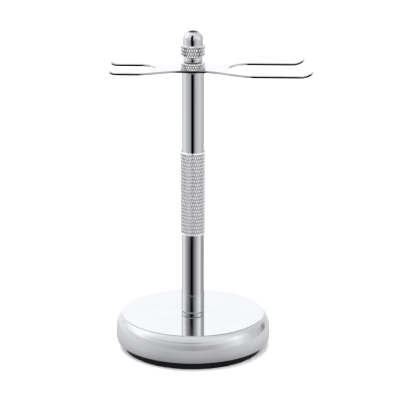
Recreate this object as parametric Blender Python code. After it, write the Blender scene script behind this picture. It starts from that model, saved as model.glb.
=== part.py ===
"""Razor and brush stand.

A weighted, chromed base carries a two-part tubular post. A knurled sleeve covers the joint halfway
up. A stamped twin fork lies on top: a narrow slot for the razor at -X and a wide one for the brush
at +X. It swivels about the post until the knurled nut and finial on the top stud clamp it.

Units are metres and +Z is up. The origin is the centre of the underside, where the stand meets the
shelf.
"""

import math

import bmesh
import bpy

MM = 0.001

# Clearances
FACE_GAP = 0.05 * MM  # between faces that bear on each other
FIT_GAP = 0.3 * MM  # around pieces inside one another

# Base
BASE_HEIGHT = 17.4 * MM
BASE_RADIUS = 37.5 * MM
BASE_FLAT_RADIUS = 34.0 * MM
BASE_WAIST_HEIGHT = 9.0 * MM  # where the base is widest
BASE_LIP_RADIUS = 36.8 * MM
SHELL_WALL = 1.5 * MM
FOOT_HEIGHT = 4.4 * MM
FOOT_RADIUS = 33.4 * MM
FOOT_WIDTH = 5.4 * MM
SHELF_TO_BALLAST = 5.0 * MM

# M5 fastenings
THREAD_RADIUS = 2.5 * MM
TAPPED_RADIUS = THREAD_RADIUS + FIT_GAP
COUNTERBORE_RADIUS = 6.2 * MM
COUNTERBORE_DEPTH = 7.0 * MM
SCREW_HEAD_RADIUS = 4.75 * MM
SCREW_HEAD_HEIGHT = 2.9 * MM
SCREW_LENGTH = 20.0 * MM
SOCKET_RADIUS = 1.73 * MM
SOCKET_DEPTH = 1.8 * MM
FLAT_WASHER_RADIUS = 5.3 * MM
FLAT_WASHER_THICKNESS = 0.9 * MM
LOCK_WASHER_RADIUS = 4.5 * MM
LOCK_WASHER_THICKNESS = 1.0 * MM
LOCK_WASHER_SPLIT = 14.0  # degrees

# Post
POST_RADIUS = 5.5 * MM
POST_BORE_RADIUS = 4.5 * MM
POST_FLANGE_HEIGHT = 1.1 * MM
PLUG_LENGTH = 14.0 * MM
PLUG_FLOOR = 3.0 * MM
COUPLING_HEIGHT = 61.5 * MM  # of the joint between the tubes, above the base
SLEEVE_RADIUS = 6.2 * MM
SLEEVE_LENGTH = 41.4 * MM
SLEEVE_CHAMFER = 0.2 * MM
COUPLING_STUD_LENGTH = 20.0 * MM

# Fork
FORK_HEIGHT = 121.8 * MM  # of its underside, above the base
FORK_THICKNESS = 1.2 * MM
NECK_HALF_WIDTH = 5.0 * MM
HUB_HOLE_RADIUS = THREAD_RADIUS + 0.15 * MM
TINE_CORNER = 1.2 * MM
TINE_WIDTH = 3.8 * MM
RAZOR_SLOT = 13.2 * MM
RAZOR_ROOT = 17.9 * MM  # from the post's axis to the end of the slot
RAZOR_REACH = 39.7 * MM
RAZOR_FLARE = (5.0 * MM, 27.0 * MM)  # where the outline starts and stops widening
RAZOR_TIP_RADIUS = 6.5 * MM
RAZOR_TIP_ANGLE = 35.0
BRUSH_SLOT = 20.0 * MM
BRUSH_ROOT = 16.8 * MM
BRUSH_REACH_FRONT = 57.0 * MM
BRUSH_REACH_BACK = 53.0 * MM
BRUSH_FLARE = (4.0 * MM, 30.0 * MM)
BRUSH_TIP_RADIUS = 8.0 * MM
BRUSH_TIP_ANGLE = 45.0

# Clamp knob
NUT_RADIUS = 5.95 * MM
NUT_HEIGHT = 3.1 * MM
NUT_RECESS_RADIUS = 4.8 * MM
NUT_RECESS_DEPTH = 0.9 * MM
NUT_BORE_RADIUS = THREAD_RADIUS + 0.2 * MM
CAPTIVE_WASHER_RADIUS = 4.5 * MM
CAPTIVE_WASHER_THICKNESS = 0.6 * MM
TOP_STUD_LENGTH = 23.0 * MM
BEAD_RADIUS = 4.7 * MM
BEAD_HEIGHT = 3.1 * MM
BAND_RADIUS = 5.95 * MM
BAND_HEIGHT = 5.4 * MM
BAND_CHAMFER = 0.35 * MM
DOME_RADIUS = 4.9 * MM
DOME_HEIGHT = 6.5 * MM
DOME_ROUNDING = 3.2 * MM
DOME_FLAT_RADIUS = 1.6 * MM
FINIAL_BORE_DEPTH = 9.6 * MM

# Facets round a full turn
BASE_FACETS = 64
POST_FACETS = 32
STUD_FACETS = 16

CHROME = ("chrome", (0.90, 0.90, 0.92), 0.05, 1.0)
KNURLED_CHROME = ("knurled_chrome", (0.80, 0.80, 0.82), 0.30, 1.0)
CAST_IRON = ("cast_iron", (0.12, 0.12, 0.12), 0.80, 1.0)
PLATED_STEEL = ("plated_steel", (0.62, 0.62, 0.60), 0.35, 1.0)
BRASS = ("brass", (0.72, 0.55, 0.28), 0.30, 1.0)
RUBBER = ("black_rubber", (0.02, 0.02, 0.02), 0.70, 0.0)
FOAM = ("black_foam", (0.03, 0.03, 0.03), 0.90, 0.0)
NYLON = ("white_nylon", (0.85, 0.84, 0.80), 0.50, 0.0)


def clear_scene():
    for old in list(bpy.data.objects):
        bpy.data.objects.remove(old)


def material(finish):
    name, colour, roughness, metallic = finish
    made = bpy.data.materials.get(name)
    if made is None:
        made = bpy.data.materials.new(name)
        made.use_nodes = True
        shader = made.node_tree.nodes["Principled BSDF"]
        shader.inputs["Base Color"].default_value = (*colour, 1.0)
        shader.inputs["Roughness"].default_value = roughness
        shader.inputs["Metallic"].default_value = metallic
    return made


def empty(name, height=0.0):
    made = bpy.data.objects.new(name, None)
    made.location.z = height
    bpy.context.scene.collection.objects.link(made)
    return made


def place(name, shape, finish, height, parent):
    """Turns a bmesh into a named object, standing at a height above the shelf."""
    bmesh.ops.recalc_face_normals(shape, faces=shape.faces)
    mesh = bpy.data.meshes.new(name)
    shape.to_mesh(mesh)
    shape.free()
    mesh.shade_smooth()
    mesh.set_sharp_from_angle(angle=math.radians(35))
    mesh.materials.append(material(finish))
    made = bpy.data.objects.new(name, mesh)
    made.parent = parent
    made.location.z = height - parent.location.z
    bpy.context.scene.collection.objects.link(made)
    return made


def arc(centre, size, start, end, steps):
    """Points on an upright ellipse's arc, angles in degrees from +r towards +z."""
    points = []
    for step in range(steps + 1):
        angle = math.radians(start + (end - start) * step / steps)
        points.append((centre[0] + size[0] * math.cos(angle), centre[1] + size[1] * math.sin(angle)))
    return points


def turned(name, section, finish, height, parent, facets=POST_FACETS):
    """Spins (radius, height) points about Z. A section that starts and ends on the axis is solid."""
    shape = bmesh.new()
    corners = [shape.verts.new((radius, 0.0, z)) for radius, z in section]
    sides = [shape.edges.new(pair) for pair in zip(corners, corners[1:])]
    if section[0][0] > 0.0:
        sides.append(shape.edges.new((corners[-1], corners[0])))
    bmesh.ops.spin(
        shape,
        geom=corners + sides,
        cent=(0.0, 0.0, 0.0),
        axis=(0.0, 0.0, 1.0),
        angle=math.tau,
        steps=facets,
        use_merge=True,
    )
    bmesh.ops.remove_doubles(shape, verts=shape.verts, dist=1e-7)
    return place(name, shape, finish, height, parent)


def ring_section(outer, inner, height):
    return [(inner, 0.0), (outer, 0.0), (outer, height), (inner, height)]


def rod_section(radius, length, chamfer):
    return [
        (0.0, 0.0),
        (radius - chamfer, 0.0),
        (radius, chamfer),
        (radius, length - chamfer),
        (radius - chamfer, length),
        (0.0, length),
    ]


def plug_section(length, floor, flange=0.0):
    """A plug for the post's bore, tapped from below, with a flange under it if one is given."""
    body = POST_BORE_RADIUS - FIT_GAP / 2
    outside = [(body, 0.0)]
    if flange > 0.0:
        outside = [(POST_RADIUS, 0.0), (POST_RADIUS, flange), (body, flange)]
    return [
        (0.0, length - floor),
        (TAPPED_RADIUS, length - floor),
        (TAPPED_RADIUS, 0.0),
        *outside,
        (body, length),
        (0.0, length),
    ]


def upside_down(section, length):
    return [(radius, length - z) for radius, z in section]


def base_shell(parent):
    waist = BASE_WAIST_HEIGHT
    shoulder = (BASE_RADIUS - BASE_FLAT_RADIUS, BASE_HEIGHT - waist)
    skirt = (BASE_RADIUS - BASE_LIP_RADIUS, waist - FOOT_HEIGHT)
    inner_flat = BASE_FLAT_RADIUS - SHELL_WALL
    ceiling = BASE_HEIGHT - SHELL_WALL
    section = [(TAPPED_RADIUS, BASE_HEIGHT)]
    section += arc((BASE_FLAT_RADIUS, waist), shoulder, 90, 0, 9)
    section += arc((BASE_LIP_RADIUS, waist), skirt, 0, -90, 4)[1:]
    section += [(BASE_LIP_RADIUS - SHELL_WALL, FOOT_HEIGHT)]
    section += arc((inner_flat, waist), (shoulder[0], ceiling - waist), 0, 90, 5)
    section += [(TAPPED_RADIUS, ceiling)]
    return turned("base_shell", section, CHROME, 0.0, parent, BASE_FACETS)


def ballast_disc(parent):
    """Cast iron that fills the shell, counterbored from below for the screw's head."""
    floor = SHELF_TO_BALLAST
    rim = BASE_LIP_RADIUS - SHELL_WALL - FIT_GAP
    flat = BASE_FLAT_RADIUS - SHELL_WALL - FIT_GAP
    top = BASE_HEIGHT - SHELL_WALL - FIT_GAP
    shoulder = (BASE_RADIUS - BASE_FLAT_RADIUS, top - BASE_WAIST_HEIGHT)
    section = [(COUNTERBORE_RADIUS, floor), (rim, floor)]
    section += arc((flat, BASE_WAIST_HEIGHT), shoulder, 0, 90, 4)
    section += [
        (TAPPED_RADIUS, top),
        (TAPPED_RADIUS, floor + COUNTERBORE_DEPTH),
        (COUNTERBORE_RADIUS, floor + COUNTERBORE_DEPTH),
    ]
    return turned("ballast_disc", section, CAST_IRON, 0.0, parent, BASE_FACETS)


def foot_pieces(parent):
    """The black rubber ring the stand rests on, and the foam disc that hides the screw inside it."""
    height = SHELF_TO_BALLAST - FIT_GAP
    inner = FOOT_RADIUS - FOOT_WIDTH
    edge = 0.4 * MM
    foot = [
        (inner, 0.0),
        (FOOT_RADIUS - edge, 0.0),
        (FOOT_RADIUS, edge),
        (FOOT_RADIUS, height),
        (inner, height),
    ]
    turned("foot_ring", foot, RUBBER, 0.0, parent, BASE_FACETS)
    rim = inner - FIT_GAP
    pad = [(0.0, 0.0), (rim, 0.0), (rim, height), (0.0, height)]
    turned("non_slip_pad", pad, FOAM, 0.0, parent, BASE_FACETS)


def base_screw(parent, seat):
    """Socket-head screw, head down, whose shank starts at the seat; the foam pad covers its head."""
    head = SCREW_HEAD_HEIGHT
    section = [
        (0.0, SOCKET_DEPTH),
        (SOCKET_RADIUS, SOCKET_DEPTH),
        (SOCKET_RADIUS, 0.0),
        (SCREW_HEAD_RADIUS - 0.6 * MM, 0.0),
        (SCREW_HEAD_RADIUS, 0.9 * MM),
        (SCREW_HEAD_RADIUS, head),
        (THREAD_RADIUS, head),
        (THREAD_RADIUS, head + SCREW_LENGTH - 0.5 * MM),
        (THREAD_RADIUS - 0.5 * MM, head + SCREW_LENGTH),
        (0.0, head + SCREW_LENGTH),
    ]
    turned("base_screw", section, PLATED_STEEL, seat - head, parent, STUD_FACETS)


def lock_washer(parent, height):
    """A ring of square section, cut through at one place, with its ends sprung a little apart."""
    shape = bmesh.new()
    section = ring_section(LOCK_WASHER_RADIUS, TAPPED_RADIUS, LOCK_WASHER_THICKNESS)
    corners = [shape.verts.new((radius, 0.0, z)) for radius, z in section]
    face = shape.faces.new(corners)
    turn = math.tau - math.radians(LOCK_WASHER_SPLIT)
    steps = 22
    rise = 0.15 * MM
    bmesh.ops.spin(
        shape,
        geom=[face],
        cent=(0.0, 0.0, 0.0),
        axis=(0.0, 0.0, 1.0),
        dvec=(0.0, 0.0, rise / steps),
        angle=turn,
        steps=steps,
    )
    place("base_lock_washer", shape, PLATED_STEEL, height, parent)


def base_fastening(parent):
    """From the counterbore's ceiling down: flat washer, split lock washer, screw."""
    flat = SHELF_TO_BALLAST + COUNTERBORE_DEPTH - FIT_GAP / 2 - FLAT_WASHER_THICKNESS
    lock = flat - FIT_GAP - LOCK_WASHER_THICKNESS
    washer = ring_section(FLAT_WASHER_RADIUS, TAPPED_RADIUS, FLAT_WASHER_THICKNESS)
    turned("base_flat_washer", washer, PLATED_STEEL, flat, parent, STUD_FACETS)
    lock_washer(parent, lock)
    base_screw(parent, lock - FIT_GAP / 2)


def lower_post(parent):
    bottom = BASE_HEIGHT + FACE_GAP
    joint = BASE_HEIGHT + COUPLING_HEIGHT
    tube_bottom = bottom + POST_FLANGE_HEIGHT + FACE_GAP
    plug = plug_section(PLUG_LENGTH + POST_FLANGE_HEIGHT, PLUG_FLOOR, POST_FLANGE_HEIGHT)
    turned("lower_post_plug", plug, CHROME, bottom, parent)
    tube = ring_section(POST_RADIUS, POST_BORE_RADIUS, joint - FIT_GAP / 2 - tube_bottom)
    turned("lower_post_tube", tube, CHROME, tube_bottom, parent)
    coupling = upside_down(plug_section(PLUG_LENGTH, PLUG_FLOOR), PLUG_LENGTH)
    turned("lower_coupling_plug", coupling, BRASS, joint - FIT_GAP - PLUG_LENGTH, parent)


def coupling(parent):
    """The stud that joins the tubes' plugs, and the knurled sleeve that covers the joint."""
    joint = BASE_HEIGHT + COUPLING_HEIGHT
    stud = rod_section(THREAD_RADIUS, COUPLING_STUD_LENGTH, 0.4 * MM)
    turned("coupling_stud", stud, PLATED_STEEL, joint - COUPLING_STUD_LENGTH / 2, parent, STUD_FACETS)
    inner = POST_RADIUS + FIT_GAP / 2
    sleeve = [
        (inner, 0.0),
        (SLEEVE_RADIUS - SLEEVE_CHAMFER, 0.0),
        (SLEEVE_RADIUS, SLEEVE_CHAMFER),
        (SLEEVE_RADIUS, SLEEVE_LENGTH - SLEEVE_CHAMFER),
        (SLEEVE_RADIUS - SLEEVE_CHAMFER, SLEEVE_LENGTH),
        (inner, SLEEVE_LENGTH),
    ]
    turned("knurled_sleeve", sleeve, KNURLED_CHROME, joint - SLEEVE_LENGTH / 2, parent)


def upper_post(parent):
    joint = BASE_HEIGHT + COUPLING_HEIGHT
    top = BASE_HEIGHT + FORK_HEIGHT - FACE_GAP
    tube_bottom = joint + FIT_GAP / 2
    coupling_plug = plug_section(PLUG_LENGTH, PLUG_FLOOR)
    turned("upper_coupling_plug", coupling_plug, BRASS, joint + FIT_GAP, parent)
    tube = ring_section(POST_RADIUS, POST_BORE_RADIUS, top - tube_bottom)
    turned("upper_post_tube", tube, CHROME, tube_bottom, parent)
    top_plug = upside_down(plug_section(PLUG_LENGTH, PLUG_FLOOR), PLUG_LENGTH)
    turned("upper_post_plug", top_plug, BRASS, top - PLUG_LENGTH, parent)
    stud_bottom = top - PLUG_LENGTH + PLUG_FLOOR + FIT_GAP
    stud = rod_section(THREAD_RADIUS, TOP_STUD_LENGTH, 0.4 * MM)
    turned("top_stud", stud, PLATED_STEEL, stud_bottom, parent, STUD_FACETS)


def flare(distance, span, wide):
    """Half-width of the fork's outline, widening smoothly from the neck over the span."""
    along = min(max((distance - span[0]) / (span[1] - span[0]), 0.0), 1.0)
    return NECK_HALF_WIDTH + (wide - NECK_HALF_WIDTH) * (1.0 - math.cos(math.pi * along)) / 2.0


def corner(x, y, x_side, y_side, end):
    """Points round one corner of a tine's end, in the order that the outline needs."""
    centre = (x - x_side * TINE_CORNER, y - y_side * TINE_CORNER)
    start = 0.0 if end == "outwards" else 90.0
    stop = 90.0 - start
    points = arc((0.0, 0.0), (TINE_CORNER, TINE_CORNER), start, stop, 4)
    return [(centre[0] + x_side * px, centre[1] + y_side * py) for px, py in points]


def arm_outline(side, slot, root, reaches, span):
    """One arm's outline from the front of the neck round both tines to the back of the neck.

    side is +1 for the brush arm and -1 for the razor arm; reaches are the front and back tines'.
    """
    half_slot = slot / 2
    wide = half_slot + TINE_WIDTH
    widening = [span[0] + (span[1] - span[0]) * step / 12 for step in range(1, 13)]
    outer = [(side * x, flare(x, span, wide)) for x in widening]
    slot_end = arc((root + half_slot, 0.0), (half_slot, half_slot), 90, 270, 20)
    front, back = reaches
    points = [(x, -y) for x, y in outer]
    points += corner(side * front, -wide, side, -1, "inwards")
    points += corner(side * front, -half_slot, side, 1, "outwards")
    points += [(side * x, -y) for x, y in slot_end]
    points += corner(side * back, half_slot, side, -1, "inwards")
    points += corner(side * back, wide, side, 1, "outwards")
    points += reversed(outer)
    return points


def bent_reach(reach, radius, angle):
    """Flat length of a tine whose upturned tip ends at the reach, and where its bend starts."""
    bend = math.radians(angle)
    start = reach - radius * math.sin(bend)
    return start + radius * bend, start


def bend_tip(vert, start, radius):
    """Rolls a vertex past the start of the bend up round the bend's axis."""
    side = math.copysign(1.0, vert.co.x)
    past = abs(vert.co.x) - start
    if past > 0.0:
        angle = past / radius
        arm = radius - vert.co.z + FORK_THICKNESS / 2
        vert.co.x = side * (start + arm * math.sin(angle))
        vert.co.z = radius + FORK_THICKNESS / 2 - arm * math.cos(angle)


def cut_across(shape, x):
    bmesh.ops.bisect_plane(
        shape,
        geom=list(shape.verts) + list(shape.edges) + list(shape.faces),
        dist=1e-8,
        plane_co=(x, 0.0, 0.0),
        plane_no=(1.0, 0.0, 0.0),
    )


def loop_edges(shape, points):
    corners = [shape.verts.new((x, y, 0.0)) for x, y in points]
    return [shape.edges.new(pair) for pair in zip(corners, corners[1:] + corners[:1])]


def fork_plate(parent):
    front_reach, front_bend = bent_reach(BRUSH_REACH_FRONT, BRUSH_TIP_RADIUS, BRUSH_TIP_ANGLE)
    back_reach, back_bend = bent_reach(BRUSH_REACH_BACK, BRUSH_TIP_RADIUS, BRUSH_TIP_ANGLE)
    razor_reach, razor_bend = bent_reach(RAZOR_REACH, RAZOR_TIP_RADIUS, RAZOR_TIP_ANGLE)
    brush = arm_outline(1, BRUSH_SLOT, BRUSH_ROOT, (front_reach, back_reach), BRUSH_FLARE)
    razor = arm_outline(-1, RAZOR_SLOT, RAZOR_ROOT, (razor_reach, razor_reach), RAZOR_FLARE)
    neck = [(0.0, -NECK_HALF_WIDTH), (0.0, NECK_HALF_WIDTH)]
    hole = arc((0.0, 0.0), (HUB_HOLE_RADIUS, HUB_HOLE_RADIUS), 0, 360, 24)[:-1]

    shape = bmesh.new()
    rim = loop_edges(shape, neck[:1] + brush + neck[1:] + list(reversed(razor)))
    rim += loop_edges(shape, hole)
    bmesh.ops.triangle_fill(shape, edges=rim, use_beauty=True)
    bends = (
        (front_bend, front_reach, 1),
        (back_bend, back_reach, 1),
        (razor_bend, razor_reach, -1),
    )
    for start, reach, side in bends:
        for step in range(5):
            cut_across(shape, side * (start + (reach - start) * step / 5))
    grown = bmesh.ops.extrude_face_region(shape, geom=list(shape.faces))
    top = [part for part in grown["geom"] if isinstance(part, bmesh.types.BMVert)]
    bmesh.ops.translate(shape, vec=(0.0, 0.0, FORK_THICKNESS), verts=top)
    for vert in shape.verts:
        if vert.co.x < 0.0:
            bend_tip(vert, razor_bend, RAZOR_TIP_RADIUS)
        else:
            bend_tip(vert, front_bend if vert.co.y < 0.0 else back_bend, BRUSH_TIP_RADIUS)
    place("fork_plate", shape, CHROME, BASE_HEIGHT + FORK_HEIGHT, parent)


def clamp_nut(parent, height):
    """Knurled nut with a recess underneath that keeps the nylon washer on it."""
    chamfer = BAND_CHAMFER
    section = [
        (NUT_RECESS_RADIUS, 0.0),
        (NUT_RADIUS - chamfer, 0.0),
        (NUT_RADIUS, chamfer),
        (NUT_RADIUS, NUT_HEIGHT - chamfer),
        (NUT_RADIUS - chamfer, NUT_HEIGHT),
        (NUT_BORE_RADIUS, NUT_HEIGHT),
        (NUT_BORE_RADIUS, NUT_RECESS_DEPTH),
        (NUT_RECESS_RADIUS, NUT_RECESS_DEPTH),
    ]
    turned("clamp_nut", section, KNURLED_CHROME, height, parent)


def finial(parent, height):
    """One turned piece: rounded bead, knurled band and domed top, bored from below for the stud."""
    bead_edge = 0.8 * MM
    band_top = BEAD_HEIGHT + BAND_HEIGHT
    total = band_top + DOME_HEIGHT
    rounding = (DOME_RADIUS - DOME_FLAT_RADIUS, DOME_ROUNDING)
    section = [(0.0, FINIAL_BORE_DEPTH), (NUT_BORE_RADIUS, FINIAL_BORE_DEPTH), (NUT_BORE_RADIUS, 0.0)]
    section += arc((BEAD_RADIUS - bead_edge, bead_edge), (bead_edge, bead_edge), -90, 0, 3)
    bead_top = BEAD_HEIGHT - bead_edge
    section += arc((BEAD_RADIUS - bead_edge, bead_top), (bead_edge, bead_edge), 0, 90, 3)
    section += [
        (BAND_RADIUS - BAND_CHAMFER, BEAD_HEIGHT),
        (BAND_RADIUS, BEAD_HEIGHT + BAND_CHAMFER),
        (BAND_RADIUS, band_top - BAND_CHAMFER),
        (BAND_RADIUS - BAND_CHAMFER, band_top),
        (DOME_RADIUS, band_top),
    ]
    section += arc((DOME_FLAT_RADIUS, total - DOME_ROUNDING), rounding, 0, 90, 7)
    section += [(0.0, total)]
    turned("finial", section, CHROME, height, parent)


def clamp_knob(washer_parent, knob_parent):
    seat = BASE_HEIGHT + FORK_HEIGHT + FORK_THICKNESS + 2 * FACE_GAP
    washer = ring_section(CAPTIVE_WASHER_RADIUS, TAPPED_RADIUS, CAPTIVE_WASHER_THICKNESS)
    turned("captive_washer", washer, NYLON, seat, washer_parent)
    clamp_nut(knob_parent, seat)
    finial(knob_parent, seat + NUT_HEIGHT + FACE_GAP)


def main():
    clear_scene()
    stand = empty("stand")
    base_shell(stand)
    ballast_disc(stand)
    foot_pieces(stand)
    base_fastening(stand)
    lower_post(stand)
    coupling(stand)
    upper_post(stand)
    fork_plate(empty("fork_axis", BASE_HEIGHT + FORK_HEIGHT))
    knob_height = BASE_HEIGHT + FORK_HEIGHT + FORK_THICKNESS
    clamp_knob(empty("washer_axis", knob_height), empty("knob_axis", knob_height))


main()
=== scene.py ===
import math

import bmesh
import bpy
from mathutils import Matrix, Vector


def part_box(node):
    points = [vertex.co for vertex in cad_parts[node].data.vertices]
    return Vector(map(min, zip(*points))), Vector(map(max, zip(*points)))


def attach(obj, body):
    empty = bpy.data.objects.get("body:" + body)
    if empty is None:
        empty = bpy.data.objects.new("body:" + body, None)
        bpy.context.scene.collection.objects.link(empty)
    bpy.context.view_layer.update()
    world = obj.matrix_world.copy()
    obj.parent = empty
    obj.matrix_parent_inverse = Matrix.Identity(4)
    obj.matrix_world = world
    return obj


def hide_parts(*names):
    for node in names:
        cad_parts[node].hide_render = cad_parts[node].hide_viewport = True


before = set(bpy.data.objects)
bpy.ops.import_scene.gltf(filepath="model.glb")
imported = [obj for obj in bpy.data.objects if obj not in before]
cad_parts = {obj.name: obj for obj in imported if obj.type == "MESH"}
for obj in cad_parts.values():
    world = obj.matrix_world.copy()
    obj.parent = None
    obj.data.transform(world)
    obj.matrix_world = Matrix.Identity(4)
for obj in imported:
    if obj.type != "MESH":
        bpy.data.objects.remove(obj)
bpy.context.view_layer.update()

MM = 0.001


def span(node):
    """Lowest and highest z of a CAD node."""
    low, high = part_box(node)
    return low.z, high.z


def radius_of(node):
    low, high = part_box(node)
    return (high.x - low.x) / 2


# ---------------------------------------------------------------- node helpers


class Look:
    """A Principled material with its node tree at hand."""

    def __init__(self, name, metallic=0.0):
        self.material = bpy.data.materials.new(name)
        self.material.use_nodes = True
        self.tree = self.material.node_tree
        self.shader = self.tree.nodes["Principled BSDF"]
        self.shader.inputs["Metallic"].default_value = metallic
        self.coords = self.tree.nodes.new("ShaderNodeTexCoord").outputs["Object"]

    def add(self, kind, **values):
        node = self.tree.nodes.new(kind)
        for key, value in values.items():
            setattr(node, key, value)
        return node

    def join(self, source, target):
        self.tree.links.new(source, target)

    def stretched(self, scale):
        """Object coordinates times a scale for each axis."""
        node = self.add("ShaderNodeMapping")
        node.inputs["Scale"].default_value = scale
        self.join(self.coords, node.inputs["Vector"])
        return node.outputs["Vector"]

    def noise(self, scale, detail=3.0, roughness=0.5, vector=None, distortion=0.0):
        node = self.add("ShaderNodeTexNoise")
        node.inputs["Scale"].default_value = scale
        node.inputs["Detail"].default_value = detail
        node.inputs["Roughness"].default_value = roughness
        node.inputs["Distortion"].default_value = distortion
        self.join(vector or self.coords, node.inputs["Vector"])
        return node.outputs["Fac"]

    def cells(self, scale):
        node = self.add("ShaderNodeTexVoronoi", feature="F1")
        node.inputs["Scale"].default_value = scale
        self.join(self.coords, node.inputs["Vector"])
        return node.outputs["Distance"]

    def radial(self):
        """Distance from the post's axis."""
        flat = self.stretched((1.0, 1.0, 0.0))
        node = self.add("ShaderNodeVectorMath", operation="LENGTH")
        self.join(flat, node.inputs[0])
        return node.outputs["Value"]

    def lines(self, source, scale, detail=4.0):
        """One-dimensional noise: fine lines across the direction that source grows in."""
        node = self.add("ShaderNodeTexNoise", noise_dimensions="1D")
        node.inputs["Scale"].default_value = scale
        node.inputs["Detail"].default_value = detail
        self.join(source, node.inputs["W"])
        return node.outputs["Fac"]

    def height(self):
        node = self.add("ShaderNodeSeparateXYZ")
        self.join(self.coords, node.inputs["Vector"])
        return node.outputs["Z"]

    def sideways(self):
        """Distance to either side, along X."""
        node = self.add("ShaderNodeVectorMath", operation="LENGTH")
        self.join(self.stretched((1.0, 0.0, 0.0)), node.inputs[0])
        return node.outputs["Value"]

    def attribute(self, name):
        return self.add("ShaderNodeAttribute", attribute_name=name).outputs["Fac"]

    def blend(self, source, first, second, low=0.3, high=0.7):
        """A colour ramp between two colours."""
        node = self.add("ShaderNodeValToRGB")
        ends = node.color_ramp.elements
        ends[0].position, ends[0].color = low, (*first, 1.0)
        ends[1].position, ends[1].color = high, (*second, 1.0)
        self.join(source, node.inputs["Fac"])
        return node.outputs["Color"]

    def ranged(self, source, low, high, start=0.3, stop=0.7):
        node = self.add("ShaderNodeMapRange")
        node.inputs["From Min"].default_value = start
        node.inputs["From Max"].default_value = stop
        node.inputs["To Min"].default_value = low
        node.inputs["To Max"].default_value = high
        self.join(source, node.inputs["Value"])
        return node.outputs["Result"]

    def combined(self, first, second, operation="MULTIPLY"):
        node = self.add("ShaderNodeMath", operation=operation)
        self.join(first, node.inputs[0])
        self.join(second, node.inputs[1])
        return node.outputs["Value"]

    def mixed(self, amount, first, second):
        node = self.add("ShaderNodeMix", data_type="RGBA")
        self.join(amount, node.inputs["Factor"])
        self.join(first, node.inputs["A"])
        self.join(second, node.inputs["B"])
        return node.outputs["Result"]

    def colour(self, source):
        self.join(source, self.shader.inputs["Base Color"])

    def rough(self, source):
        self.join(source, self.shader.inputs["Roughness"])

    def bump(self, source, distance, strength=1.0):
        """Stacks on any bump that is already there."""
        node = self.add("ShaderNodeBump")
        node.inputs["Strength"].default_value = strength
        node.inputs["Distance"].default_value = distance
        self.join(source, node.inputs["Height"])
        socket = self.shader.inputs["Normal"]
        if socket.links:
            self.join(socket.links[0].from_socket, node.inputs["Normal"])
        self.join(node.outputs["Normal"], socket)


# ---------------------------------------------------------------- materials


def chrome_look(name, lines_along, rough_low=0.014, rough_high=0.036):
    """Mirror chrome with faint smudges, and the hairlines that polishing leaves.

    The hairlines go round the axis, spaced by height or by radius, or else along the plate's length.
    """
    look = Look(name, metallic=1.0)
    smudge = look.noise(70.0, detail=5.0, roughness=0.6, distortion=0.6)
    if lines_along == "height":
        hair = look.lines(look.height(), 9000.0)
    elif lines_along == "radius":
        hair = look.lines(look.radial(), 9000.0)
    else:
        hair = look.noise(1.0, vector=look.stretched((260.0, 5200.0, 900.0)))
    look.colour(look.blend(smudge, (0.665, 0.672, 0.690), (0.700, 0.704, 0.716)))
    worn = look.ranged(smudge, rough_low, rough_high)
    look.rough(look.combined(worn, look.ranged(hair, -0.006, 0.008), "ADD"))
    look.bump(hair, 0.0000008, 0.3)
    look.bump(look.noise(160.0, detail=1.0), 0.000004, 0.25)
    return look.material


def knurl_look(name, groove, crest):
    """Satin chrome: worn crests, smoother and painted brighter than chrome as a highlight; grooves painted
    darker as shade, and rougher.
    """
    look = Look(name, metallic=0.86)
    grain = look.noise(900.0, detail=4.0)
    worn = look.noise(130.0, detail=3.0)
    high = look.attribute("crest")
    # Groove colour is painted shade and crest colour a painted highlight, mixed by the crest attribute.
    groove_shade = look.blend(grain, *groove)
    on_crest = look.blend(worn, *crest)
    look.colour(look.mixed(look.ranged(high, 0.0, 1.0, 0.0, 1.0), groove_shade, on_crest))
    rough = look.ranged(high, 0.24, 0.12, 0.0, 1.0)
    look.rough(look.combined(rough, look.ranged(grain, -0.04, 0.05), "ADD"))
    look.bump(grain, 0.000006, 0.5)
    return look.material


def rubber_look(name):
    look = Look(name)
    fine = look.noise(2600.0, detail=2.0)
    dust = look.noise(55.0, detail=4.0, roughness=0.65)
    look.colour(look.blend(dust, (0.0025, 0.0025, 0.003), (0.006, 0.006, 0.0065)))
    look.rough(look.ranged(dust, 0.50, 0.68))
    look.shader.inputs["Specular IOR Level"].default_value = 0.12
    look.bump(fine, 0.00002, 0.5)
    return look.material


def foam_look(name):
    look = Look(name)
    cells = look.cells(2200.0)
    look.colour(look.blend(cells, (0.010, 0.010, 0.011), (0.034, 0.034, 0.036), 0.1, 0.8))
    look.rough(look.ranged(look.noise(300.0), 0.82, 0.96))
    look.bump(cells, 0.00015, 0.8)
    return look.material


def steel_look(name, lines_along="height"):
    """Zinc-plated steel with turning lines and faintly yellow and blue patches."""
    look = Look(name, metallic=1.0)
    patch = look.noise(240.0, detail=4.0)
    lines = look.lines(look.height() if lines_along == "height" else look.radial(), 5200.0)
    look.colour(look.blend(patch, (0.46, 0.47, 0.50), (0.62, 0.59, 0.52)))
    look.rough(look.combined(look.ranged(patch, 0.24, 0.40), look.ranged(lines, -0.05, 0.06), "ADD"))
    look.bump(lines, 0.000008, 0.5)
    return look.material


def brass_look(name):
    look = Look(name, metallic=1.0)
    tarnish = look.noise(190.0, detail=5.0, roughness=0.6)
    lines = look.lines(look.height(), 4200.0)
    look.colour(look.blend(tarnish, (0.52, 0.35, 0.13), (0.78, 0.60, 0.30)))
    look.rough(look.combined(look.ranged(tarnish, 0.42, 0.24), look.ranged(lines, -0.05, 0.05), "ADD"))
    look.bump(lines, 0.000010, 0.5)
    return look.material


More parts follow.
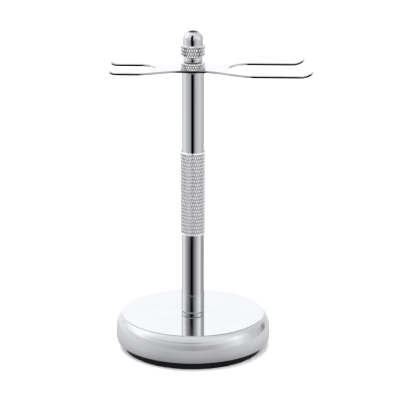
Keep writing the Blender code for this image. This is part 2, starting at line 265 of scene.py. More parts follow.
def iron_look(name):
    look = Look(name, metallic=0.7)
    grain = look.noise(1500.0, detail=5.0, roughness=0.7)
    scale = look.noise(120.0, detail=4.0)
    bare = look.blend(grain, (0.03, 0.03, 0.032), (0.075, 0.072, 0.07))
    rusty = look.blend(grain, (0.05, 0.035, 0.025), (0.11, 0.07, 0.045))
    look.colour(look.mixed(look.ranged(scale, 0.0, 1.0), bare, rusty))
    look.rough(look.ranged(grain, 0.62, 0.88))
    look.bump(grain, 0.00012, 0.7)
    return look.material


def nylon_look(name):
    look = Look(name)
    cloud = look.noise(420.0, detail=3.0)
    rings = look.lines(look.radial(), 3600.0)
    look.colour(look.blend(cloud, (0.76, 0.74, 0.68), (0.86, 0.85, 0.80)))
    look.rough(look.ranged(rings, 0.38, 0.55))
    look.bump(rings, 0.000010, 0.5)
    return look.material


# ---------------------------------------------------------------- mesh helpers


def ring(shape, azimuths, radius, z):
    """Vertices round the Z axis, or one on it."""
    if radius == 0.0:
        return [shape.verts.new((0.0, 0.0, z))]
    return [shape.verts.new((radius * math.cos(a), radius * math.sin(a), z)) for a in azimuths]


def stitch(shape, first, second):
    """Faces between two rings of equal count, or a fan where one is a point."""
    count = max(len(first), len(second))
    for i in range(count):
        j = (i + 1) % count
        if len(first) == 1:
            shape.faces.new((first[0], second[j], second[i]))
        elif len(second) == 1:
            shape.faces.new((first[i], first[j], second[0]))
        else:
            shape.faces.new((first[i], first[j], second[j], second[i]))


def lathe(shape, section, azimuths, start=None, end=None):
    """Rings through (radius, z) points, joined to a start and an end ring where those are given."""
    rings = [ring(shape, azimuths, radius, z) for radius, z in section]
    if start is not None:
        rings.insert(0, start)
    if end is not None:
        rings.append(end)
    for first, second in zip(rings, rings[1:]):
        stitch(shape, first, second)
    return rings


def turn(count):
    return [math.tau * i / count for i in range(count)]


def arc(centre, size, start, end, steps):
    """(radius, z) points on an ellipse's arc, in degrees from +radius towards +z."""
    points = []
    for step in range(steps + 1):
        angle = math.radians(start + (end - start) * step / steps)
        points.append((centre[0] + size[0] * math.cos(angle), centre[1] + size[1] * math.sin(angle)))
    return points


def mesh_object(name, shape, materials):
    """Turns a bmesh into a smooth-shaded object in the scene."""
    bmesh.ops.recalc_face_normals(shape, faces=shape.faces)
    mesh = bpy.data.meshes.new(name)
    shape.to_mesh(mesh)
    shape.free()
    mesh.shade_smooth()
    for material in materials:
        mesh.materials.append(material)
    piece = bpy.data.objects.new(name, mesh)
    bpy.context.scene.collection.objects.link(piece)
    return piece


def made(name, shape, body, materials, nodes, sharp=32.0, weighted=False):
    """A piece that rides on a CAD body and stands for CAD nodes."""
    piece = mesh_object(name, shape, materials)
    piece.data.set_sharp_from_angle(angle=math.radians(sharp))
    if weighted:
        modifier = piece.modifiers.new("flat_faces", "WEIGHTED_NORMAL")
        modifier.keep_sharp = True
    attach(piece, body)
    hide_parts(*nodes)


def closed_lathe(name, section, count, body, look, nodes, sharp=32.0):
    """A turned piece from a section that is a closed loop, or one that starts and ends on the axis."""
    shape = bmesh.new()
    rings = lathe(shape, section, turn(count))
    if section[0][0] > 0.0:
        stitch(shape, rings[-1], rings[0])
    made(name, shape, body, [look], nodes, sharp)


def knurl(shape, layer, count, rows, low, high, crest_radius, depth):
    """Diamond knurling between two heights. Returns the azimuths, the lowest and the highest ring.

    Diamonds sit on a staggered grid. Each is a pyramid with its top third cut off flat, and the ends
    cut the diamonds through the middle. The layer marks crests 1 and grooves 0.
    """
    step = math.pi / count
    rise = (high - low) / rows
    top = 1.0 / 3.0
    known = {}

    def point(column, row, on_crest):
        key = (round((column % (2 * count)) * 3), round(row * 3), on_crest)
        if key not in known:
            radius = crest_radius if on_crest else crest_radius - depth
            angle = column * step
            vert = shape.verts.new((radius * math.cos(angle), radius * math.sin(angle), low + row * rise))
            vert[layer] = 1.0 if on_crest else 0.0
            known[key] = vert
        return known[key]

    for row in range(rows + 1):
        for column in range(row % 2, 2 * count, 2):
            corners = [
                point(column + 1, row, False),
                point(column, row + 1, False) if row < rows else None,
                point(column - 1, row, False),
                point(column, row - 1, False) if row > 0 else None,
            ]
            crests = [
                point(column + top, row, True),
                point(column, row + top, True) if row < rows else None,
                point(column - top, row, True),
                point(column, row - top, True) if row > 0 else None,
            ]
            for i in range(4):
                j = (i + 1) % 4
                if corners[i] and corners[j]:
                    shape.faces.new((corners[i], corners[j], crests[j], crests[i]))
            shape.faces.new([vert for vert in crests if vert])
    azimuths = [(i * 2.0 / 3.0 + top) * step for i in range(3 * count)]
    bottom, summit = [], []
    for i in range(3 * count):
        column = i * 2.0 / 3.0 + top
        on_crest = i % 3 != 1
        bottom.append(point(column, 0, on_crest))
        summit.append(point(column, rows, on_crest))
    return azimuths, bottom, summit


# ---------------------------------------------------------------- base

WAIST = 9.0 * MM
FLAT_RADIUS = 34.0 * MM
LIP_RADIUS = 36.8 * MM
SHELL_WALL = 1.5 * MM
# Distance from an edge to the ring that keeps smooth shading straight beside it.
HOLD = 0.12 * MM


def chrome_base(look):
    low, high = span("base_shell")
    outer = radius_of("base_shell")
    bore = 2.8 * MM
    shoulder = (outer - FLAT_RADIUS, high - WAIST)
    skirt = (outer - LIP_RADIUS, WAIST - low)
    ceiling = high - SHELL_WALL
    section = [(bore, high), (6.5 * MM, high), (20.0 * MM, high), (FLAT_RADIUS - HOLD, high)]
    section += arc((FLAT_RADIUS, WAIST), shoulder, 90, 0, 40)
    section += arc((LIP_RADIUS, WAIST), skirt, 0, -78, 10)[1:]
    section += [(LIP_RADIUS - 0.15 * MM, low), (LIP_RADIUS - SHELL_WALL, low)]
    section += arc((FLAT_RADIUS - SHELL_WALL, WAIST), (shoulder[0], ceiling - WAIST), 0, 90, 12)
    section += [(bore, ceiling)]
    closed_lathe("chrome_base", section, 240, "stand", look, ["base_shell"])


def rubber_foot(look):
    low, high = span("foot_ring")
    outer = radius_of("foot_ring")
    inner = 28.0 * MM
    groove, groove_top = 0.35 * MM, low + 0.4 * MM
    chamfer = 0.3 * MM
    edge = 0.5 * MM
    section = [(inner, high), (inner, low + chamfer), (inner + chamfer, low)]
    for middle in (29.4 * MM, 30.7 * MM, 32.0 * MM):
        section += [(middle - groove, low), (middle - groove / 2, groove_top)]
        section += [(middle + groove / 2, groove_top), (middle + groove, low)]
    section += arc((outer - edge, low + edge), (edge, edge), -90, 0, 5)
    parting_line = [(0.0, 2.1), (0.12, 2.2), (0.0, 2.3)]
    section += [(outer - depth * MM, low + rise * MM) for depth, rise in parting_line]
    section += [(outer, high)]
    closed_lathe("rubber_foot", section, 200, "stand", look, ["foot_ring"])


# ---------------------------------------------------------------- post


def tube(name, node, look, bottom_edge, top_edge):
    """A plain tube. The middle of each rounded outer edge lies at 0.3 of the edge's width."""
    low, high = span(node)
    outer = radius_of(node)
    inner = outer - 1.0 * MM
    deburr = 0.1 * MM
    section = [(inner, low + deburr), (inner + deburr, low), (outer - bottom_edge, low)]
    section += [(outer - 0.3 * bottom_edge, low + 0.3 * bottom_edge), (outer, low + bottom_edge)]
    section += [(outer, low + bottom_edge + HOLD)]
    section += [(outer, low + (high - low) * part) for part in (0.25, 0.5, 0.75)]
    section += [(outer, high - top_edge - HOLD), (outer, high - top_edge)]
    section += [(outer - 0.3 * top_edge, high - 0.3 * top_edge), (outer - top_edge, high)]
    section += [(inner + deburr, high), (inner, high - deburr)]
    closed_lathe(name, section, 128, "stand", look, [node])


def post_flange(look):
    """The tapped plug with its flange, and a gap under the tube that shows as a fine dark line."""
    low, high = span("lower_post_plug")
    outer = radius_of("lower_post_plug")
    body = 4.35 * MM
    tapped, tapped_top = 2.8 * MM, high - 3.0 * MM
    chamfer = 0.3 * MM
    flange = low + 1.1 * MM
    groove, groove_low = outer - 0.9 * MM, flange - 0.26 * MM
    section = [(0.0, tapped_top), (tapped, tapped_top), (tapped, low)]
    section += [(outer, low), (outer, low + HOLD)]
    section += [(outer, groove_low - HOLD), (outer, groove_low), (groove, groove_low), (groove, flange)]
    section += [(body, flange), (body, high - chamfer), (body - chamfer, high), (0.0, high)]
    closed_lathe("post_flange", section, 128, "stand", look, ["lower_post_plug"])


# Diamonds round the sleeve, and rows of them.
GRIP_KNURL = (40, 24)


def knurled_grip(look):
    low, high = span("knurled_sleeve")
    outer = radius_of("knurled_sleeve")
    inner = 5.65 * MM
    land, land_height = outer - 0.10 * MM, 0.5 * MM
    margin, depth = 0.6 * MM, 0.30 * MM
    deburr, edge = 0.1 * MM, 0.22 * MM
    shape = bmesh.new()
    layer = shape.verts.layers.float.new("crest")
    azimuths, bottom, summit = knurl(shape, layer, *GRIP_KNURL, low + margin, high - margin, outer, depth)
    below = [(inner, low + deburr), (inner + deburr, low), (land - edge, low), (land, low + edge)]
    below += [(land, low + land_height)]
    above = [(radius, high - (z - low)) for radius, z in reversed(below)]
    lower = lathe(shape, below, azimuths, end=bottom)
    upper = lathe(shape, above, azimuths, start=summit)
    stitch(shape, upper[-1], lower[0])
    for rings in (lower[:-1], upper[1:]):
        for vert in [v for one in rings for v in one]:
            vert[layer] = 1.0
    made("knurled_grip", shape, "stand", [look], ["knurled_sleeve"], sharp=20.0)


def thread(name, node, body, look, pitch=0.8 * MM, depth=0.42 * MM):
    """An M5 rod with a real helical thread and turned-down ends."""
    low, high = span(node)
    outer = radius_of(node)
    around, per_pitch = 40, 6
    profile = [0.0, 0.0, 0.45, 1.0, 1.0, 0.55]  # share of the depth, over one pitch
    shape = bmesh.new()
    rows = int((high - low) / pitch * per_pitch) + 2 * per_pitch
    grid = []
    for row in range(rows):
        line = []
        for i in range(around):
            angle = math.tau * i / around
            z = low - pitch + pitch * (row / per_pitch + i / around)
            radius = outer - depth * profile[row % per_pitch]
            line.append(shape.verts.new((radius * math.cos(angle), radius * math.sin(angle), z)))
        grid.append(line)
    for row in range(rows - 1):
        for i in range(around - 1):
            shape.faces.new((grid[row][i], grid[row][i + 1], grid[row + 1][i + 1], grid[row + 1][i]))
        turned = row + per_pitch
        if turned + 1 < rows:
            shape.faces.new((grid[row][-1], grid[turned][0], grid[turned + 1][0], grid[row + 1][-1]))
    end = 0.45 * MM
    for plane, normal in ((low, -1.0), (high, 1.0)):
        everything = list(shape.verts) + list(shape.edges) + list(shape.faces)
        cut = {"plane_co": (0, 0, plane), "plane_no": (0, 0, normal), "clear_outer": True}
        bmesh.ops.bisect_plane(shape, geom=everything, dist=1e-9, **cut)
        loose = [edge for edge in shape.edges if edge.is_boundary]
        rim = [edge for edge in loose if all(abs(vert.co.z - plane) < 1e-6 for vert in edge.verts)]
        bmesh.ops.contextual_create(shape, geom=rim)
    for vert in shape.verts:
        from_end = min(vert.co.z - low, high - vert.co.z)
        limit = outer - end + min(from_end, end)
        length = math.hypot(vert.co.x, vert.co.y)
        if length > limit:
            vert.co.x *= limit / length
            vert.co.y *= limit / length
    made(name, shape, body, [look], [node], sharp=28.0)


# ---------------------------------------------------------------- fork

TINE = 3.8 * MM
CORNER = 1.2 * MM
NECK = 5.0 * MM
# The slot starts at its root. The plate flares from the neck between two distances from the axis. A
# tine reaches out to front or back, and its tip bends up by the angle at the radius.
ARMS = {
    "brush": {
        "side": 1,
        "slot": 20.0 * MM,
        "root": 16.8 * MM,
        "front": 57.0 * MM,
        "back": 53.0 * MM,
        "flare": (4.0 * MM, 30.0 * MM),
        "radius": 8.0 * MM,
        "angle": 45.0,
    },
    "razor": {
        "side": -1,
        "slot": 13.2 * MM,
        "root": 17.9 * MM,
        "front": 39.7 * MM,
        "back": 39.7 * MM,
        "flare": (5.0 * MM, 27.0 * MM),
        "radius": 6.5 * MM,
        "angle": 35.0,
    },
}


def flat_length(arm, end):
    """Length of a tine before its tip is bent up, and where the bend starts."""
    bend = math.radians(arm["angle"])
    start = arm[end] - arm["radius"] * math.sin(bend)
    return start + arm["radius"] * bend, start


def rounded(x, y, x_side, y_side, outwards):
    """Points round a tine's corner."""
    points = []
    for step in range(9):
        angle = math.radians(90.0 * (step / 8 if outwards else 1 - step / 8))
        along = x_side * CORNER * (math.cos(angle) - 1)
        across = y_side * CORNER * (math.sin(angle) - 1)
        points.append((x + along, y + across))
    return points


def arm_outline(arm):
    """From the front of the neck round both tines to the back of the neck."""
    side, half_slot = arm["side"], arm["slot"] / 2
    wide = half_slot + TINE
    start, stop = arm["flare"]
    outer = []
    for step in range(1, 33):
        part = step / 32
        width = NECK + (wide - NECK) * (1 - math.cos(math.pi * part)) / 2
        outer.append((start + (stop - start) * part, width))
    front, back = flat_length(arm, "front")[0], flat_length(arm, "back")[0]
    slot_end = []
    for degrees in range(90, 271, 4):
        angle = math.radians(degrees)
        x = arm["root"] + half_slot + half_slot * math.cos(angle)
        slot_end.append((x, half_slot * math.sin(angle)))
    points = [(side * x, -y) for x, y in outer]
    points += rounded(side * front, -wide, side, -1, False)
    points += rounded(side * front, -half_slot, side, 1, True)
    points += [(side * x, -y) for x, y in slot_end]
    points += rounded(side * back, half_slot, side, -1, False)
    points += rounded(side * back, wide, side, 1, True)
    points += [(side * x, y) for x, y in reversed(outer)]
    return points


def inset(points, distance):
    """The outline moved inwards, for an anticlockwise outline; a clockwise hole grows."""
    moved = []
    count = len(points)
    for i, (x, y) in enumerate(points):
        before, after = Vector(points[i - 1]), Vector(points[(i + 1) % count])
        here = Vector((x, y))
        first, second = (here - before).normalized(), (after - here).normalized()
        normal = Vector((-first.y - second.y, first.x + second.x)).normalized()
        scale = distance / max(normal.dot(Vector((-first.y, first.x))), 0.5)
        moved.append((x + normal.x * scale, y + normal.y * scale))
    return moved


def fork(look, edge_look):
    low = span("fork_plate")[0]
    thick = 1.2 * MM
    edge = 0.22 * MM
    outline = arm_outline(ARMS["brush"]) + list(reversed(arm_outline(ARMS["razor"])))
    hub_hole = 2.65 * MM
    hole = [(hub_hole * math.cos(-angle), hub_hole * math.sin(-angle)) for angle in turn(48)]
    profile = []
    for step in range(5):
        angle = math.radians(90.0 * step / 4)
        profile.append((edge * (1 - math.sin(angle)), edge * (1 - math.cos(angle))))
    levels = [(inward, z) for inward, z in profile]
    levels += [(inward, thick - z) for inward, z in reversed(profile)]
    shape = bmesh.new()
    faces_of_rim = []
    caps = {0: [], len(levels) - 1: []}
    for loop in (outline, hole):
        rings = []
        for inward, z in levels:
            rings.append([shape.verts.new((x, y, z)) for x, y in inset(loop, inward)])
        before = len(shape.faces)
        for first, second in zip(rings, rings[1:]):
            stitch(shape, first, second)
        faces_of_rim += list(shape.faces)[before:]
        for level in caps:
            verts = rings[level]
            caps[level] += [shape.edges.get(pair) for pair in zip(verts, verts[1:] + verts[:1])]
    for face in faces_of_rim:
        face.material_index = 1
    for level in caps:
        bmesh.ops.triangle_fill(shape, edges=caps[level], use_beauty=True)
    bends = []
    for arm in ARMS.values():
        for end in {"front", "back"} if arm["front"] != arm["back"] else {"front"}:
            length, start = flat_length(arm, end)
            bends += [arm["side"] * (start + (length - start) * step / 10) for step in range(10)]
    for x in sorted(bends):
        everything = list(shape.verts) + list(shape.edges) + list(shape.faces)
        bmesh.ops.bisect_plane(shape, geom=everything, dist=1e-8, plane_co=(x, 0, 0), plane_no=(1, 0, 0))
    for vert in shape.verts:
        arm = ARMS["brush" if vert.co.x > 0 else "razor"]
        start = flat_length(arm, "front" if vert.co.y < 0 else "back")[1]
        past = abs(vert.co.x) - start
        if past > 0:
            reach = arm["radius"] - vert.co.z + thick / 2
            vert.co.x = arm["side"] * (start + reach * math.sin(past / arm["radius"]))
            vert.co.z = arm["radius"] + thick / 2 - reach * math.cos(past / arm["radius"])
    bmesh.ops.translate(shape, vec=(0, 0, low), verts=shape.verts)
    made("fork", shape, "fork", [look, edge_look], ["fork_plate"], sharp=50.0, weighted=True)


# ---------------------------------------------------------------- knob

# Diamonds round the nut and the finial's band.
KNOB_KNURL = 31
BORE = 2.7 * MM


def knurled_nut(look):
    low, high = span("clamp_nut")
    outer = radius_of("clamp_nut")
    chamfer = 0.35 * MM
    rows, depth = 2, 0.32 * MM
    recess, recess_top = 4.8 * MM, low + 0.9 * MM
    shape = bmesh.new()
    layer = shape.verts.layers.float.new("crest")
    ends = low + chamfer, high - chamfer
    azimuths, bottom, summit = knurl(shape, layer, KNOB_KNURL, rows, *ends, outer, depth)
    below = [(BORE, recess_top), (recess, recess_top), (recess, low), (outer - chamfer, low)]
    above = [(outer - chamfer, high), (BORE + 0.3 * MM, high), (BORE, high - 0.3 * MM)]
    lower = lathe(shape, below, azimuths, end=bottom)
    upper = lathe(shape, above, azimuths, start=summit)
    stitch(shape, upper[-1], lower[0])
    for vert in [v for one in lower[:-1] + upper[1:] for v in one]:
        vert[layer] = 0.6
    made("knurled_nut", shape, "knob", [look], ["clamp_nut"], sharp=20.0)


def finial(look, knurl_material):
    """Bead, knurled band and dome, bored from below; the band takes the satin finish."""
    low, high = span("finial")
    band_low, band_high = low + 3.1 * MM, low + 8.5 * MM
    outer = radius_of("finial")
    chamfer = 0.35 * MM
    rows, depth = 3, 0.30 * MM
    bead = 4.7 * MM
    edge = 1.15 * MM
    dome, flat, rounding = 4.9 * MM, 1.2 * MM, 3.8 * MM
    shape = bmesh.new()
    layer = shape.verts.layers.float.new("crest")
    ends = band_low + chamfer, band_high - chamfer
    azimuths, bottom, summit = knurl(shape, layer, KNOB_KNURL, rows, *ends, outer, depth)
    knurled = list(shape.faces)
    below = [(0.0, low + 9.6 * MM), (BORE, low + 9.2 * MM), (BORE, low + 0.3 * MM), (BORE + 0.3 * MM, low)]
    below += arc((bead - edge, low + edge), (edge, edge), -90, 0, 10)
    below += arc((bead - edge, band_low - edge), (edge, edge), 0, 78, 9)
    below += [(bead - 0.75 * MM, band_low), (outer - chamfer, band_low)]
    above = [(outer - chamfer, band_high), (dome + 0.12 * MM, band_high), (dome, band_high + 0.12 * MM)]
    above += [(dome, band_high + (high - rounding - band_high) * part) for part in (0.3, 0.65)]
    above += arc((flat, high - rounding), (dome - flat, rounding), 0, 90, 24)
    above += [(flat * 0.5, high), (0.0, high)]
    lower = lathe(shape, below, azimuths, end=bottom)
    upper = lathe(shape, above, azimuths, start=summit)
    for vert in [v for one in lower[:-1] + upper[1:] for v in one]:
        vert[layer] = 1.0
    for face in knurled:
        face.material_index = 1
    for one in (lower[-2], upper[1]):
        for vert in one:
            for face in vert.link_faces:
                if any(other[layer] < 0.5 for other in face.verts):
                    face.material_index = 1
    made("finial_knob", shape, "knob", [look, knurl_material], ["finial"], sharp=24.0)


def nylon_washer(look):
    low, high = span("captive_washer")
    outer = radius_of("captive_washer")
    inner, edge = 2.8 * MM, 0.12 * MM
    section = [(inner, low + edge), (inner + edge, low), (outer - edge, low), (outer, low + edge)]
    section += [(outer, high - edge), (outer - edge, high), (inner + edge, high), (inner, high - edge)]
    closed_lathe("nylon_washer", section, 96, "washer", look, ["captive_washer"], sharp=50.0)


# ---------------------------------------------------------------- build

post_chrome = chrome_look("post_chrome", "height")
base_chrome = chrome_look("base_chrome", "radius")
plate_chrome = chrome_look("plate_chrome", "length")
edge_chrome = chrome_look("plate_edge_chrome", "length", 0.05, 0.12)
# The groove colours are painted shade, darker than chrome, and the crest colours a painted highlight,
# brighter than chrome.
satin_knurl = knurl_look(
    "satin_knurl",
    groove=((0.42, 0.42, 0.43), (0.58, 0.58, 0.60)),
    crest=((0.93, 0.93, 0.95), (0.98, 0.98, 0.99)),
)
knob_knurl = knurl_look(
    "knob_knurl",
    groove=((0.12, 0.12, 0.12), (0.24, 0.24, 0.25)),
    crest=((0.95, 0.95, 0.96), (0.99, 0.99, 0.99)),
)
steel = steel_look("zinc_plated_steel")
ring_steel = steel_look("zinc_plated_washer", "radius")
brass = brass_look("turned_brass")

chrome_base(base_chrome)
rubber_foot(rubber_look("black_rubber_foot"))
post_flange(post_chrome)
tube("lower_tube", "lower_post_tube", post_chrome, bottom_edge=0.20 * MM, top_edge=0.15 * MM)
tube("upper_tube", "upper_post_tube", post_chrome, bottom_edge=0.15 * MM, top_edge=0.15 * MM)
knurled_grip(satin_knurl)
thread("coupling_thread", "coupling_stud", "stand", steel)
thread("top_thread", "top_stud", "stand", steel)
fork(plate_chrome, edge_chrome)
knurled_nut(knob_knurl)
finial(post_chrome, knob_knurl)
nylon_washer(nylon_look("natural_nylon"))

CARRIED_OVER = {
    "ballast_disc": iron_look("rough_cast_iron"),
    "non_slip_pad": foam_look("closed_cell_foam"),
    "base_screw": steel,
    "base_lock_washer": ring_steel,
    "base_flat_washer": ring_steel,
    "lower_coupling_plug": brass,
    "upper_coupling_plug": brass,
    "upper_post_plug": brass,
}
for node, look in CARRIED_OVER.items():
    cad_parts[node].data.materials.clear()
    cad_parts[node].data.materials.append(look)

# ---------------------------------------------------------------- stage and light

# Degrees from straight before the stand towards its right.
CAMERA_AZIMUTH = 1.66


def floor_look():
    look = Look("pale_floor")
    look.colour(look.blend(look.noise(14.0), (0.95, 0.95, 0.95), (0.97, 0.97, 0.97)))
    look.rough(look.ranged(look.noise(60.0), 0.85, 0.95))
    return look.material


def painted_floor_reflection_look():
    """Glows as a painted reflection of a pale floor, darker before the stand than beside it, with a
    painted contact shadow darker towards the foot.
    """
    look = Look("painted_floor_reflection")
    radial = look.radial()
    sideways = look.combined(look.sideways(), radial, "DIVIDE")
    # Painted contact shadow: the glow darkens towards the foot, more before the stand than beside it.
    before = look.blend(radial, (0.36, 0.36, 0.37), (0.70, 0.70, 0.71), 0.038, 0.062)
    beside = look.blend(radial, (0.60, 0.60, 0.61), (0.92, 0.92, 0.93), 0.038, 0.062)
    painted_floor_glow = look.mixed(look.ranged(sideways, 0.0, 1.0, 0.45, 1.0), before, beside)
    look.shader.inputs["Base Color"].default_value = (0.0, 0.0, 0.0, 1.0)
    look.shader.inputs["Specular IOR Level"].default_value = 0.0
    look.join(painted_floor_glow, look.shader.inputs["Emission Color"])
    look.shader.inputs["Emission Strength"].default_value = 1.0
    return look.material


def dark_reflection_look():
    # Near black, for cards seen only in the chrome as painted dark reflections.
    look = Look("painted_dark_reflection_card")
    look.colour(look.blend(look.noise(90.0), (0.004, 0.004, 0.004), (0.008, 0.008, 0.008)))
    look.shader.inputs["Specular IOR Level"].default_value = 0.0
    return look.material


def staged(name, shape, look):
    piece = mesh_object(name, shape, [look])
    return piece


def only_in_chrome(piece):
    """Leaves a stage piece visible to reflections only."""
    piece.visible_camera = False
    piece.visible_diffuse = False
    piece.visible_shadow = False


def floor():
    """A pale floor that curves up far away. The mirror surfaces look past it into the light tent.

    Near the stand they see a shallow glowing bowl instead, a painted floor reflection with painted contact
    shadow: low enough for the post to look over it.
    """
    flat, bend = 3.0, 1.5
    shape = bmesh.new()
    section = [(0.0, 0.0), (1.0, 0.0), (flat, 0.0)]
    section += arc((flat, bend), (bend, bend), -90, 0, 16)[1:] + [(flat + bend, 2 * bend)]
    lathe(shape, section, turn(128))
    sweep = staged("sweep", shape, floor_look())
    sweep.visible_glossy = False
    sweep.visible_shadow = False
    # The bowl is a painted floor reflection that glows, with painted contact shadow near the foot.
    bowl_low, bowl_flat = 0.02 * MM, 54.0 * MM
    bowl_high, bowl_rim = 7.6 * MM, 62.0 * MM
    shape = bmesh.new()
    lathe(shape, [(0.0, bowl_low), (bowl_flat, bowl_low), (bowl_rim, bowl_high)], turn(128))
    only_in_chrome(staged("painted_floor_reflection", shape, painted_floor_reflection_look()))


def painted_dark_reflection_card(name, bottom, top):
    """A black card close to the knob, seen only in the chrome: a painted dark reflection. Each end is its
    height and its left and right azimuth.
    """
    away = 25.0 * MM
    low, low_left, low_right = bottom
    high, high_left, high_right = top
    shape = bmesh.new()
    corners = []
    for azimuth, z in ((low_left, low), (low_right, low), (high_right, high), (high_left, high)):
        around = math.radians(azimuth + CAMERA_AZIMUTH)
        corners.append(shape.verts.new((math.sin(around) * away, -math.cos(around) * away, z)))
    shape.faces.new(corners)
    only_in_chrome(staged(name, shape, dark_reflection_look()))


def painted_dark_reflection_cards():
    """Painted dark reflections: one before the knob draws the stripe up the dome, one behind it darkens
    the dome's flat.
    """
    low, high = span("finial")
    painted_dark_reflection_card("card_before", (low + 4.0 * MM, -22, 3), (low + 62.0 * MM, -26, 8))
    painted_dark_reflection_card("card_behind", (high + 4.0 * MM, 165, 195), (high + 12.0 * MM, 165, 195))


# The light tent. Each ring is (azimuth, brightness) round the tent: azimuth 0 is the camera's side,
# -90 the left and 90 the right. Low down, white cards stand left and right, with dark gaps straight
# behind and just left of the camera. That last gap draws the black stripe down the post.
LOW_CARDS = (
    (-180, 0.2), (-160, 1.0), (-140, 0.5), (-110, 1.2), (-70, 0.5), (-20, 0.0), (-5, 0.0), (25, 0.4),
    (70, 1.1), (100, 0.4), (120, 0.4), (165, 1.0),
)
HIGH_CARDS = (
    (-180, 0.2), (-160, 1.0), (-130, 0.8), (-100, 1.1), (-60, 0.7), (-25, 0.5), (-15, 0.0), (5, 0.0),
    (25, 0.6), (70, 0.9), (120, 0.6), (165, 1.1),
)
WALL = (
    (-180, 1.2), (-135, 1.1), (-90, 0.9), (-45, 0.7), (0, 0.5), (30, 0.6), (70, 1.1), (100, 0.8),
    (120, 0.7), (130, 0.3), (140, 0.8),
)
BRIGHT_WALL = (
    (-180, 1.3), (-170, 1.3), (-160, 1.1), (-135, 1.1), (-90, 1.4), (-60, 0.9), (0, 0.7), (45, 1.0),
    (70, 1.3), (100, 0.8), (150, 0.9), (170, 1.3),
)
LENS_SLIT = (
    (-180, 1.3), (-170, 1.3), (-160, 0.5), (-110, 1.7), (-70, 0.7), (-20, 0.0), (-5, 0.0), (25, 0.6),
    (70, 1.6), (100, 0.6), (160, 0.7), (170, 1.3),
)
OPEN_BACK = (
    (-180, 0.1), (-165, 0.3), (-150, 1.4), (-90, 1.4), (-60, 1.0), (0, 0.9), (60, 1.1), (100, 0.9),
    (150, 0.9), (165, 0.3),
)
UPPER_WALL = ((-180, 0.8), (-135, 1.3), (-75, 1.1), (0, 1.0), (150, 0.8))
ROOF = ((-180, 1.0), (0, 1.0))
# Elevation of each ring, lowest first. The slit is at the lens's height and one degree tall. It lies
# where the post's mirror image in the base's flat top looks.
TENT = (
    (-18.5, LOW_CARDS), (-17.0, HIGH_CARDS), (-12.0, HIGH_CARDS), (-5.0, WALL), (2.0, WALL),
    (15.0, BRIGHT_WALL), (19.0, BRIGHT_WALL), (19.3, LENS_SLIT), (20.3, LENS_SLIT), (20.6, BRIGHT_WALL),
    (25.0, BRIGHT_WALL), (31.0, OPEN_BACK), (48.0, OPEN_BACK), (60.0, UPPER_WALL), (78.0, ROOF),
)
TINT = (0.985, 0.985, 1.0)
# A colour ramp holds values up to 1, so brightness is divided by this and multiplied again.
PEAK = 2.0


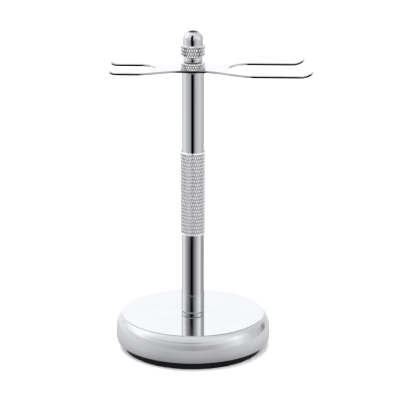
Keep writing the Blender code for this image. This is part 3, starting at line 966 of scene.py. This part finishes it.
def light_tent():
    """World light: rings of white cards and dark gaps, blended by elevation."""
    world = bpy.data.worlds.new("light_tent")
    bpy.context.scene.world = world
    world.use_nodes = True
    tree = world.node_tree
    background = tree.nodes["Background"]

    def node(kind, **values):
        new = tree.nodes.new(kind)
        for key, value in values.items():
            setattr(new, key, value)
        return new

    def math_node(operation, first, second):
        new = node("ShaderNodeMath", operation=operation)
        for socket, value in zip(new.inputs, (first, second)):
            if isinstance(value, (int, float)):
                socket.default_value = value
            elif value is not None:
                tree.links.new(value, socket)
        return new.outputs["Value"]

    place = node("ShaderNodeTexCoord").outputs["Generated"]
    turned = node("ShaderNodeVectorRotate", rotation_type="Z_AXIS")
    turned.inputs["Angle"].default_value = -math.radians(CAMERA_AZIMUTH)
    tree.links.new(place, turned.inputs["Vector"])
    parts = node("ShaderNodeSeparateXYZ")
    tree.links.new(turned.outputs["Vector"], parts.inputs["Vector"])
    front = math_node("MULTIPLY", parts.outputs["Y"], -1.0)
    azimuth = math_node("ARCTAN2", parts.outputs["X"], front)
    share = math_node("ADD", math_node("DIVIDE", azimuth, math.tau), 0.5)
    elevation = math_node("MULTIPLY", math_node("ARCSINE", parts.outputs["Z"], None), 180.0 / math.pi)

    shown = None
    below = None
    for height, panels in TENT:
        ramp = node("ShaderNodeValToRGB")
        ramp.color_ramp.interpolation = "LINEAR"
        stops = ramp.color_ramp.elements
        for i, (angle, bright) in enumerate(panels + ((180, panels[0][1]),)):
            position = (angle + 180.0) / 360.0
            stop = stops[i] if i < 2 else stops.new(position)
            stop.position = position
            stop.color = (*[bright / PEAK * tint for tint in TINT], 1.0)
        tree.links.new(share, ramp.inputs["Fac"])
        if shown is None:
            shown = ramp.outputs["Color"]
        else:
            up = node("ShaderNodeMapRange", interpolation_type="SMOOTHSTEP")
            up.inputs["From Min"].default_value = below
            up.inputs["From Max"].default_value = height
            tree.links.new(elevation, up.inputs["Value"])
            mix = node("ShaderNodeMix", data_type="RGBA")
            tree.links.new(up.outputs["Result"], mix.inputs["Factor"])
            tree.links.new(shown, mix.inputs["A"])
            tree.links.new(ramp.outputs["Color"], mix.inputs["B"])
            shown = mix.outputs["Result"]
        below = height
    tree.links.new(shown, background.inputs["Color"])
    background.inputs["Strength"].default_value = PEAK


def camera():
    """A long lens, 1.4 m away, looking a little down at the stand."""
    base_top = span("base_shell")[1]
    rise, back = 473.7 * MM, 1317.4 * MM
    looking_down = math.radians(17.54)
    around = math.radians(CAMERA_AZIMUTH)
    data = bpy.data.cameras.new("camera")
    data.lens = 257.9
    data.sensor_width = 36.0
    data.shift_x = 0.0175
    data.clip_start, data.clip_end = 0.01, 50.0
    view = bpy.data.objects.new("camera", data)
    view.location = (math.sin(around) * back, -math.cos(around) * back, base_top + rise)
    view.rotation_euler = (math.pi / 2 - looking_down, 0.0, around)
    bpy.context.scene.collection.objects.link(view)
    bpy.context.scene.camera = view


def softbox(name, place, watts):
    """A square light aimed at the base, kept out of the chrome."""
    base_top = span("base_shell")[1]
    data = bpy.data.lights.new(name, "AREA")
    data.shape = "SQUARE"
    data.size = 1.2
    data.energy = watts
    lamp = bpy.data.objects.new(name, data)
    lamp.location = (place[0], place[1], base_top + place[2])
    lamp.rotation_euler = (-Vector(place)).to_track_quat("-Z", "Y").to_euler()
    lamp.visible_glossy = False
    bpy.context.scene.collection.objects.link(lamp)


floor()
painted_dark_reflection_cards()
light_tent()
softbox("overhead_softbox", (-0.25, -0.10, 1.5), 24.0)
softbox("front_softbox", (0.0, -1.5, 0.75), 24.0)
camera()
bpy.context.scene.view_settings.view_transform = "Standard"
bpy.context.scene.view_settings.look = "None"
